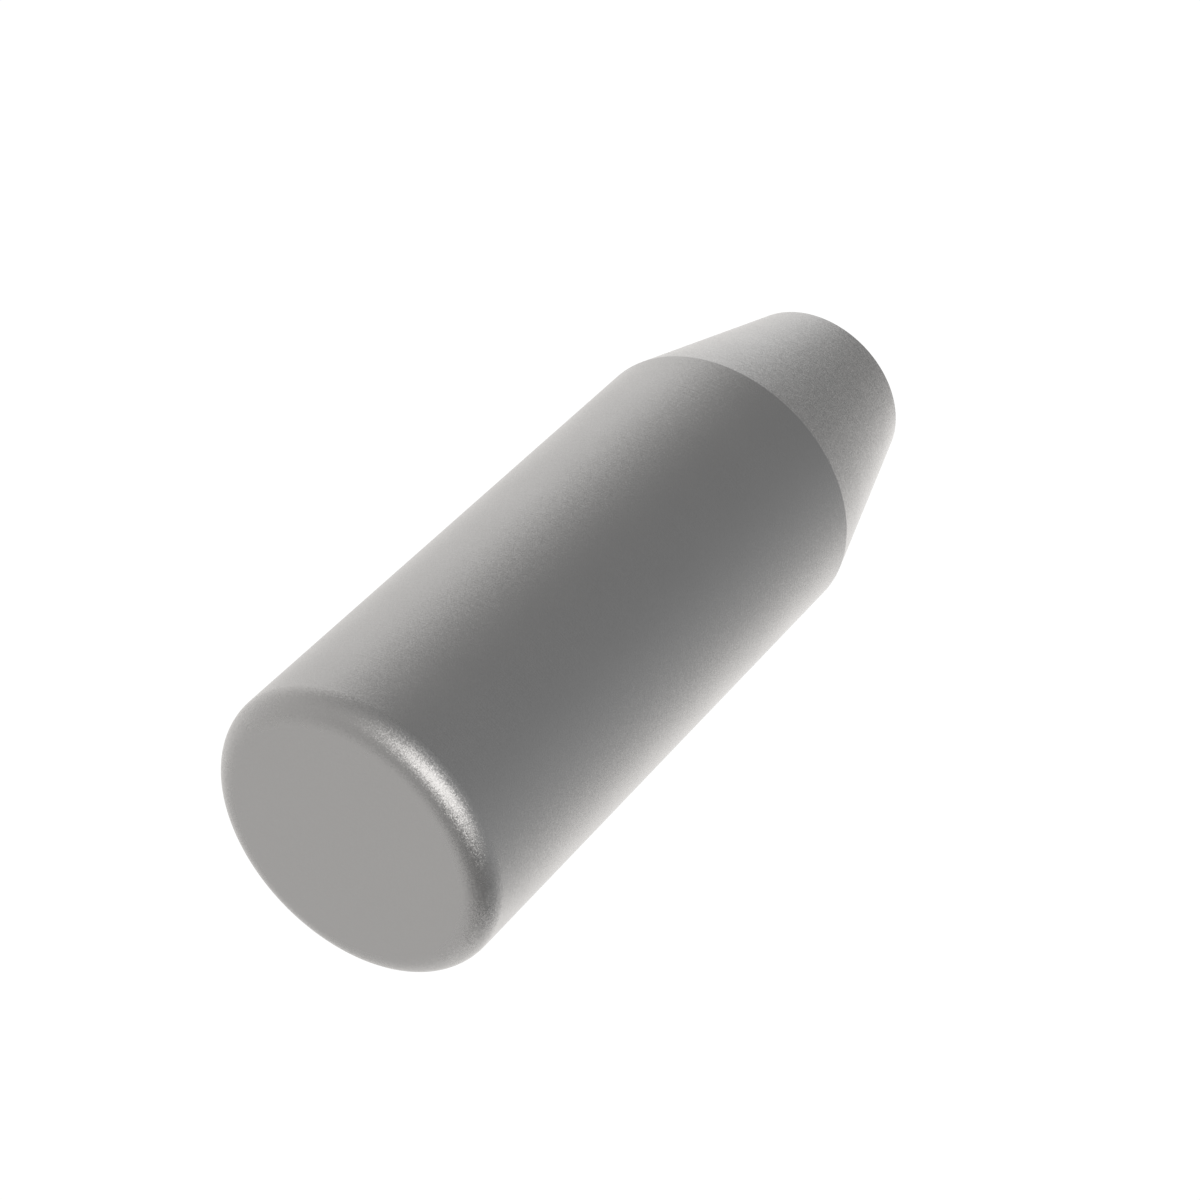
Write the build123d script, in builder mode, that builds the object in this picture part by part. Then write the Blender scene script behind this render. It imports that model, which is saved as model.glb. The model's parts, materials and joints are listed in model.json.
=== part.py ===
"""Bearing pin: one solid turned and ground from round bar.

The pin stands on the flat tip of its nose, with its axis along +Z and the origin
at the centre of that tip. From the tip upwards it has a conical lead-in nose, a
straight ground journal, and a wide flat end face with a rounded edge.
"""

import os
from math import radians, tan

from build123d import *

# Driving dimensions, in millimetres and degrees
pin_length = 50.0  # from the tip of the nose to the wide end face
journal_diameter = 18.0  # the ground diameter that runs in the bearing
nose_length = 12.0  # the tapered lead-in, measured along the axis
nose_angle = 15.0  # taper on each side of the axis
end_edge_radius = 1.6  # rounded edge of the wide end face
tip_edge_break = 0.1  # burr taken off the tip's edge, measured along both faces

# Sizes that follow from them
journal_radius = journal_diameter / 2
tip_radius = journal_radius - nose_length * tan(radians(nose_angle))

# The turned shape is half of a section through the axis, revolved all the way round
with BuildPart() as bearing_pin:
    with BuildSketch(Plane.XZ) as half_section:
        with BuildLine() as turned_outline:
            tip_face = Line((0, 0), (tip_radius, 0))
            nose_flank = Line(tip_face @ 1, (journal_radius, nose_length))
            journal_wall = Line(nose_flank @ 1, (journal_radius, pin_length))
            end_face = Line(journal_wall @ 1, (0, pin_length))
            Line(end_face @ 1, tip_face @ 0)
        make_face()
    revolve(axis=Axis.Z)

    # The wide end's edge is rounded, and the tip's edge only loses its burr
    round_edges = bearing_pin.edges().filter_by(GeomType.CIRCLE).sort_by(Axis.Z)
    fillet(round_edges[-1], radius=end_edge_radius)
    chamfer(round_edges[0], length=tip_edge_break)

bearing_pin.part.label = "bearing_pin"

os.makedirs("parts", exist_ok=True)
export_step(bearing_pin.part, "parts/bearing_pin.step")
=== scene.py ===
import json
import math

import bpy
from mathutils import Matrix, Vector


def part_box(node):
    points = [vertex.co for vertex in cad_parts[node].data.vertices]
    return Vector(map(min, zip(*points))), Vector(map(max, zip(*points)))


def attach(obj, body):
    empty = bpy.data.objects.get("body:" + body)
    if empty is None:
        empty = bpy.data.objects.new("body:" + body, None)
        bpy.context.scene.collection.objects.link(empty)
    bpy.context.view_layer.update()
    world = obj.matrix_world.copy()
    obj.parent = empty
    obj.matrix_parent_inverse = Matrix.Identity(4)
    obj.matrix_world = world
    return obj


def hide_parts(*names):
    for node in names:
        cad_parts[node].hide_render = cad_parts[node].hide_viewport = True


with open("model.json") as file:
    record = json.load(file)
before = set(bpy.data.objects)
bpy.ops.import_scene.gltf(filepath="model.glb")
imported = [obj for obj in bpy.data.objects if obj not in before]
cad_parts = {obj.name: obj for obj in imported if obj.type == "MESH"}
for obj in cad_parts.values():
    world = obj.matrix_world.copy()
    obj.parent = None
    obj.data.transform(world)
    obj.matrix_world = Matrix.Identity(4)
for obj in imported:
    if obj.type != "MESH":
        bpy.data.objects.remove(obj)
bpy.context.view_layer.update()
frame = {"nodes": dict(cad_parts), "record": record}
print("stage: frame loaded,", len(frame["nodes"]), "node")

millimetre = 0.001


# An sRGB hex colour as linear light, with full alpha
def hexToLinear(hexCode):
    channels = [int(hexCode[start:start + 2], 16) / 255 for start in (0, 2, 4)]
    return [c / 12.92 if c <= 0.04045 else ((c + 0.055) / 1.055) ** 2.4 for c in channels] + [1.0]


def addNode(tree, kind, settings=None, values=None, links=None):
    node = tree.nodes.new(kind)
    for name, setting in (settings or {}).items():
        setattr(node, name, setting)
    for socket, value in (values or {}).items():
        node.inputs[socket].default_value = value
    for socket, source in (links or {}).items():
        tree.links.new(source, node.inputs[socket])
    return node


# Switches an owner's nodes on and hands back its tree, empty
def emptyTree(owner):
    owner.use_nodes = True
    owner.node_tree.nodes.clear()
    return owner.node_tree


# Directions from the pin: azimuth 0 is +X, -90 is where the camera stands, and elevation is above the floor
def towards(azimuth, elevation):
    turn, lift = math.radians(azimuth), math.radians(elevation)
    return Vector((math.cos(lift) * math.cos(turn), math.cos(lift) * math.sin(turn), math.sin(lift)))


# Camera

cameraView = {
    "lens": 100.0,  # millimetres
    "sensor": 36.0,  # millimetres across
    "distance": 192.3 * millimetre,  # from the middle of the pin
    "azimuth": -90.0,  # degrees
    "elevation": 41.73,  # degrees above the floor
    "roll": -133.83,  # degrees; the wide end comes to the lower left
    "clipStart": 10 * millimetre,
}


def makeCamera():
    low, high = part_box("bearing_pin")
    middle = (low + high) / 2
    bpy.ops.object.camera_add()
    camera = bpy.context.object
    camera.name = "photoCamera"
    camera.data.lens = cameraView["lens"]
    camera.data.sensor_width = cameraView["sensor"]
    camera.data.clip_start = cameraView["clipStart"]

    # It stands off from the pin, aims at its middle, and is rolled about its line of sight
    standsOff = towards(cameraView["azimuth"], cameraView["elevation"])
    place = Matrix.Translation(middle + standsOff * cameraView["distance"])
    aim = standsOff.to_track_quat("Z", "Y").to_matrix().to_4x4()
    roll = Matrix.Rotation(math.radians(cameraView["roll"]), 4, "Z")
    camera.matrix_world = place @ aim @ roll
    bpy.context.scene.camera = camera


makeCamera()
print("stage: camera placed")


# The pin

pinShape = {
    "sides": 256,  # round the axis
    "noseTaper": 15.0,  # degrees on each side of the axis
    "edgeSteps": 18,  # over the rounded edge of the wide end
    "tipBreak": 0.1 * millimetre,  # burr taken off the tip's edge
    "shoulderBreak": 0.04 * millimetre,  # where the grinding wheel left the corner of journal and nose
    "breakSteps": 3,  # over each of those two
    "capInset": 0.25 * millimetre,  # ring of faces that keeps the flat ends flat
    "flatEnd": 0.9999,  # least rise or fall of a face's normal on the flat ends
    "pickWithin": 0.005 * millimetre,  # how near its place a picked edge has to be
    "weldWithin": 0.0005 * millimetre,  # points nearer each other than this become one
    "marking": {"ground": 0.0, "nose": 0.35, "roundedEdge": 1.0},  # how far the tumbling has marked each
}


def clearPicks(mesh):
    bpy.ops.object.mode_set(mode="OBJECT")
    for part in (*mesh.vertices, *mesh.edges, *mesh.polygons):
        part.select = False


def pickFaces(mesh, test):
    clearPicks(mesh)
    for face in mesh.polygons:
        face.select = test(face)
    bpy.ops.object.mode_set(mode="EDIT")


# Picks the ring of edges that lies level, at this height and this far from the axis
def pickRing(mesh, height, radius):
    clearPicks(mesh)
    near = pinShape["pickWithin"]
    onRing = {
        v.index for v in mesh.vertices
        if abs(v.co.z - height) < near and abs(v.co.xy.length - radius) < near
    }
    for edge in mesh.edges:
        edge.select = all(index in onRing for index in edge.vertices)
    bpy.ops.object.mode_set(mode="EDIT")


# The tumbling marks the rounded edge most, the nose less, and the ground journal and end faces least
def recordMarking(mesh, noseTop, edgeFoot):
    marking = mesh.attributes.new("marking", "FLOAT", "FACE")
    for face in mesh.polygons:
        surface = "ground"
        if abs(face.normal.z) < pinShape["flatEnd"]:
            if face.center.z < noseTop:
                surface = "nose"
            elif face.center.z > edgeFoot:
                surface = "roundedEdge"
        marking.data[face.index].value = pinShape["marking"][surface]


def makePin():
    low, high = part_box("bearing_pin")
    journal = next(m for m in frame["record"]["mounts"] if m["name"] == "journal")
    journalRadius = journal["dims"]["r_mm"] * millimetre
    journalHalf = journal["dims"]["length_mm"] * millimetre / 2
    noseTop = journal["pos_m"][2] - journalHalf
    edgeFoot = journal["pos_m"][2] + journalHalf
    tipRadius = journalRadius - (noseTop - low.z) * math.tan(math.radians(pinShape["noseTaper"]))

    # The bar is cut to the journal, with the stock for the rounded edge still on it
    bpy.ops.object.select_all(action="DESELECT")
    bpy.ops.mesh.primitive_cylinder_add(
        vertices=pinShape["sides"],
        radius=journalRadius,
        depth=high.z - noseTop,
        location=(0, 0, (high.z + noseTop) / 2),
    )
    pin = bpy.context.object
    pin.name = "bearingPin"
    bpy.ops.object.transform_apply(location=True, rotation=True, scale=True)
    mesh = pin.data

    # The nose is drawn out of the lower face and closed in to the tip
    bpy.ops.object.mode_set(mode="EDIT")
    bpy.ops.mesh.select_mode(type="FACE")
    pickFaces(mesh, lambda face: face.normal.z < -pinShape["flatEnd"])
    bpy.ops.mesh.extrude_region_move(TRANSFORM_OT_translate={"value": (0, 0, low.z - noseTop)})
    closing = tipRadius / journalRadius
    bpy.ops.transform.resize(value=(closing, closing, 1), center_override=(0, 0, low.z))

    # The edges are broken: round at the wide end, a hair at the shoulder, the burr at the tip
    bpy.ops.mesh.select_mode(type="EDGE")
    for height, radius, offset, steps in (
        (high.z, journalRadius, high.z - edgeFoot, pinShape["edgeSteps"]),
        (noseTop, journalRadius, pinShape["shoulderBreak"], pinShape["breakSteps"]),
        (low.z, tipRadius, pinShape["tipBreak"], pinShape["breakSteps"]),
    ):
        pickRing(mesh, height, radius)
        bpy.ops.mesh.bevel(offset=offset, segments=steps, affect="EDGES")

    # Each flat end gets a narrow ring of faces, and the normals are weighted by area, so that it shades flat
    bpy.ops.mesh.select_mode(type="FACE")
    for side in (1, -1):
        pickFaces(mesh, lambda face: face.normal.z * side > pinShape["flatEnd"])
        bpy.ops.mesh.inset(thickness=pinShape["capInset"])
    bpy.ops.mesh.select_all(action="SELECT")
    bpy.ops.mesh.remove_doubles(threshold=pinShape["weldWithin"])
    bpy.ops.mesh.normals_make_consistent(inside=False)
    bpy.ops.object.mode_set(mode="OBJECT")
    bpy.ops.object.shade_smooth()
    pin.modifiers.new("flatEnds", "WEIGHTED_NORMAL")
    bpy.ops.object.modifier_apply(modifier="flatEnds")
    recordMarking(mesh, noseTop, edgeFoot)
    return pin


# Bearing steel, turned, ground and then tumbled in fine ceramic stone. The grinding lines are worn down to a
# faint lay round the axis. Each mark of the stone leans its own way, so the steel has an even satin that
# spreads reflections wide, and it sparkles where the rounded edge mirrors a lamp.
steelFinish = {
    "colour": "cbcbcb",  # bare neutral steel
    "leastMarked": {"roughness": 0.32, "lean": 0.15},  # lean is how far the marks tip their facets over
    "mostMarked": {"roughness": 0.28, "lean": 0.24},
    "markSize": 0.045 * millimetre,  # the stone's marks, drawn about twice as coarse as the real ones
    "roughnessDrift": 0.015,  # how far the tumbling varies over the pin
    "driftSize": 4.0 * millimetre,
    "driftDetail": 3.0,  # finer patches within the large ones
    "driftReach": (0.3, 0.7),  # the noise stays between these nearly everywhere
    "laySpacing": 0.12 * millimetre,  # grinding lines, drawn coarser and deeper than real ones, to just show
    "layLength": 8.0 * millimetre,  # how far a line runs before it fades
    "layDepth": 0.006 * millimetre,
    "layDetail": 1.0,  # finer lines between them
}


# The grinding lines repeat along the axis and outwards from it, and hardly change round it
def grindingLay(tree, place):
    across, along = 1 / steelFinish["laySpacing"], 1 / steelFinish["layLength"]
    parts = addNode(tree, "ShaderNodeSeparateXYZ", links={"Vector": place})
    sideways = addNode(tree, "ShaderNodeCombineXYZ", links={"X": parts.outputs["X"], "Y": parts.outputs["Y"]})
    fromAxis = addNode(tree, "ShaderNodeVectorMath", {"operation": "LENGTH"}, links={0: sideways.outputs[0]})
    outwards = addNode(
        tree, "ShaderNodeMath", {"operation": "MULTIPLY"}, {1: across}, {0: fromAxis.outputs["Value"]},
    )
    scaled = addNode(
        tree, "ShaderNodeVectorMath", {"operation": "MULTIPLY"}, {1: (along, along, across)}, {0: place},
    )
    lines = addNode(
        tree, "ShaderNodeTexNoise", {"noise_dimensions": "4D"},
        {"Scale": 1.0, "Detail": steelFinish["layDetail"]},
        {"Vector": scaled.outputs[0], "W": outwards.outputs[0]},
    )
    lay = addNode(
        tree, "ShaderNodeBump", values={"Strength": 1.0, "Distance": steelFinish["layDepth"]},
        links={"Height": lines.outputs["Fac"]},
    )
    return lay.outputs["Normal"]


# Every mark of the stone is a small facet, leant by a random amount from the surface under it
def tumblingMarks(tree, place, marking, under):
    marks = addNode(
        tree, "ShaderNodeTexVoronoi", values={"Scale": 1 / steelFinish["markSize"]}, links={"Vector": place},
    )
    middleColour = (0.5, 0.5, 0.5)  # each mark has a random colour, which lies evenly about this
    eitherWay = addNode(
        tree, "ShaderNodeVectorMath", {"operation": "SUBTRACT"}, {1: middleColour},
        {0: marks.outputs["Color"]},
    )
    lean = addNode(
        tree, "ShaderNodeMapRange",
        values={"To Min": steelFinish["leastMarked"]["lean"], "To Max": steelFinish["mostMarked"]["lean"]},
        links={"Value": marking},
    )
    facet = addNode(
        tree, "ShaderNodeVectorMath", {"operation": "SCALE"},
        links={0: eitherWay.outputs[0], "Scale": lean.outputs["Result"]},
    )
    leant = addNode(
        tree, "ShaderNodeVectorMath", {"operation": "ADD"}, links={0: facet.outputs[0], 1: under},
    )
    surface = addNode(tree, "ShaderNodeVectorMath", {"operation": "NORMALIZE"}, links={0: leant.outputs[0]})
    return surface.outputs[0]


# The roughness follows the marking, and drifts a little in wide soft patches
def satinRoughness(tree, place, marking):
    satin = addNode(
        tree, "ShaderNodeMapRange",
        values={
            "To Min": steelFinish["leastMarked"]["roughness"],
            "To Max": steelFinish["mostMarked"]["roughness"],
        },
        links={"Value": marking},
    )
    patches = addNode(
        tree, "ShaderNodeTexNoise",
        values={"Scale": 1 / steelFinish["driftSize"], "Detail": steelFinish["driftDetail"]},
        links={"Vector": place},
    )
    low, high = steelFinish["driftReach"]
    drift = addNode(
        tree, "ShaderNodeMapRange",
        values={
            "From Min": low,
            "From Max": high,
            "To Min": -steelFinish["roughnessDrift"],
            "To Max": steelFinish["roughnessDrift"],
        },
        links={"Value": patches.outputs["Fac"]},
    )
    rough = addNode(
        tree, "ShaderNodeMath", {"operation": "ADD"},
        links={0: satin.outputs["Result"], 1: drift.outputs["Result"]},
    )
    return rough.outputs[0]


def makeSatinGroundSteel():
    steel = bpy.data.materials.new("satinGroundSteel")
    tree = emptyTree(steel)
    place = addNode(tree, "ShaderNodeTexCoord").outputs["Object"]
    marking = addNode(tree, "ShaderNodeAttribute", {"attribute_name": "marking"}).outputs["Fac"]
    shader = addNode(
        tree, "ShaderNodeBsdfPrincipled",
        values={"Base Color": hexToLinear(steelFinish["colour"]), "Metallic": 1.0},
        links={
            "Roughness": satinRoughness(tree, place, marking),
            "Normal": tumblingMarks(tree, place, marking, grindingLay(tree, place)),
        },
    )
    addNode(tree, "ShaderNodeOutputMaterial", links={"Surface": shader.outputs["BSDF"]})
    return steel


pin = makePin()
pin.data.materials.append(makeSatinGroundSteel())
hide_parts("bearing_pin")
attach(pin, "root")
print("stage: pin turned and finished,", len(pin.data.polygons), "faces")


# The studio

floorLook = {
    "halfSide": 1.5,  # metres
    "under": 0.01 * millimetre,  # how far the table top lies under the tip, so that the two don't coincide
    "light": "ffffff",
    "brightness": 1.04,  # lit from below, just enough to photograph white
}


# A light table of opal acrylic, which glows an even white. As in the photograph, the pin throws no shadow on
# it and doesn't mirror it. Its underside is clear, so that the tip can be looked at from below.
def makeFloor():
    bpy.ops.object.select_all(action="DESELECT")
    bpy.ops.mesh.primitive_plane_add(size=2 * floorLook["halfSide"], location=(0, 0, -floorLook["under"]))
    floor = bpy.context.object
    floor.name = "lightTable"
    bpy.ops.object.transform_apply(location=True, rotation=True, scale=True)
    top = bpy.data.materials.new("opalAcrylicTableTop")
    tree = emptyTree(top)
    glow = addNode(
        tree, "ShaderNodeEmission",
        values={"Color": hexToLinear(floorLook["light"]), "Strength": floorLook["brightness"]},
    )
    clear = addNode(tree, "ShaderNodeBsdfTransparent")
    fromBelow = addNode(tree, "ShaderNodeNewGeometry").outputs["Backfacing"]
    sheet = addNode(
        tree, "ShaderNodeMixShader", links={0: fromBelow, 1: glow.outputs[0], 2: clear.outputs[0]},
    )
    addNode(tree, "ShaderNodeOutputMaterial", links={"Surface": sheet.outputs[0]})
    floor.data.materials.append(top)
    floor.visible_glossy = False
    floor.visible_diffuse = False
    floor.visible_shadow = False


studioLight = {
    "even": 0.06,  # what the whole dome gives
    "backdrop": 1.04,  # what the camera sees past the table
    "white": "ffffff",  # the backdrop
    "warm": "fffcf9",  # the lamps
    "cool": "fdfeff",  # the dim room behind the camera and under the table
    # azimuth and elevation in degrees, as seen from the pin, then spread in degrees, brightness and tint
    "glows": {
        "keyLeft": (-125, 28, 16, 0.85, "warm"),
        "keyRight": (-94, 38, 18, 1.35, "warm"),
        "fillRight": (0, 33, 46, 0.37, "warm"),
        "lowRight": (5, -35, 19, 0.32, "warm"),
        "underRight": (15, -63, 15, 0.32, "cool"),
        "backRight": (71, -16, 34, 0.64, "warm"),
        "backTop": (105, 55, 22, 0.27, "warm"),
        "backLeft": (130, 13, 18, 0.31, "warm"),
        "backLeftLow": (136, -30, 24, 0.52, "warm"),
        "backUnder": (98, -58, 20, 0.75, "warm"),
        "frontLeftLow": (-160, -25, 27, 0.21, "cool"),
        "frontLow": (-90, -9, 31, 0.17, "cool"),
    },
}


# A glow is brightest in its middle and fades out softly over its spread
def softGlow(tree, look, azimuth, elevation, spread, brightness, tint):
    fade = 1 / math.radians(spread) ** 2
    along = addNode(
        tree, "ShaderNodeVectorMath", {"operation": "DOT_PRODUCT"},
        {1: towards(azimuth, elevation)}, {0: look},
    )
    falloff = addNode(
        tree, "ShaderNodeMath", {"operation": "MULTIPLY_ADD"}, {1: fade, 2: -fade},
        {0: along.outputs["Value"]},
    )
    shape = addNode(tree, "ShaderNodeMath", {"operation": "EXPONENT"}, links={0: falloff.outputs[0]})
    strength = addNode(
        tree, "ShaderNodeMath", {"operation": "MULTIPLY"}, {1: brightness}, {0: shape.outputs[0]},
    )
    glow = addNode(
        tree, "ShaderNodeBackground", values={"Color": hexToLinear(studioLight[tint])},
        links={"Strength": strength.outputs[0]},
    )
    return glow.outputs[0]


# The dome round the table has an even light and the soft glows. The camera sees a white backdrop instead.
def makeDome():
    world = bpy.data.worlds.new("studioDome")
    bpy.context.scene.world = world
    tree = emptyTree(world)
    look = addNode(tree, "ShaderNodeTexCoord").outputs["Generated"]
    dome = addNode(
        tree, "ShaderNodeBackground",
        values={"Color": hexToLinear(studioLight["cool"]), "Strength": studioLight["even"]},
    )
    for placed in studioLight["glows"].values():
        glow = softGlow(tree, look, *placed)
        dome = addNode(tree, "ShaderNodeAddShader", links={0: dome.outputs[0], 1: glow})
    backdrop = addNode(
        tree, "ShaderNodeBackground",
        values={"Color": hexToLinear(studioLight["white"]), "Strength": studioLight["backdrop"]},
    )
    seen = addNode(tree, "ShaderNodeLightPath").outputs["Is Camera Ray"]
    both = addNode(tree, "ShaderNodeMixShader", links={0: seen, 1: dome.outputs[0], 2: backdrop.outputs[0]})
    addNode(tree, "ShaderNodeOutputWorld", links={"Surface": both.outputs[0]})


makeFloor()
makeDome()
bpy.context.scene.view_settings.view_transform = "Standard"  # so that the pale floor stays white
print("stage: studio lit")
